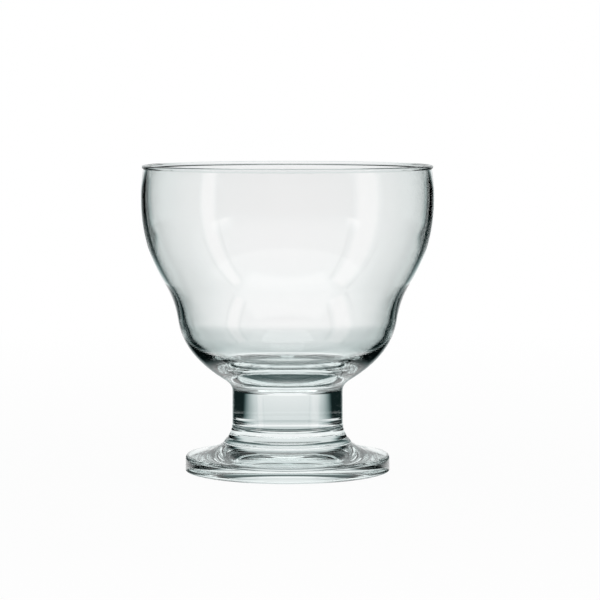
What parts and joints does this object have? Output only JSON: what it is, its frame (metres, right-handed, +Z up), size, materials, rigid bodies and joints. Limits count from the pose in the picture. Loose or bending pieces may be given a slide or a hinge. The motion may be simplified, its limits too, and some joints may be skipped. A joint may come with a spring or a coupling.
{
  "type": "sherbet glass",
  "caption": "Short footed dessert glass: wide rounded bowl with a beaded lip and a pinched waist, on a plain stem with a collar of rounded rings and a thick round foot.",
  "frame": {"origin": "middle of the resting plane, under the foot", "axes": "+Z up along the axis of the glass; X and Y are free, because every piece is turned about Z"},
  "size_m": [0.0922, 0.0922, 0.0965],
  "materials": {
    "bowl_glass": "clear thin soda-lime glass, fire polished",
    "stem_glass": "clear solid soda-lime glass, fire polished",
    "collar_glass": "clear solid soda-lime glass, pressed rings",
    "foot_glass": "clear thick soda-lime glass, faintly green at the edge"
  },
  "bodies": {
    "root": {"bowl": "bowl_glass", "stem": "stem_glass", "collar": "collar_glass", "foot": "foot_glass"}
  },
  "joints": []
}
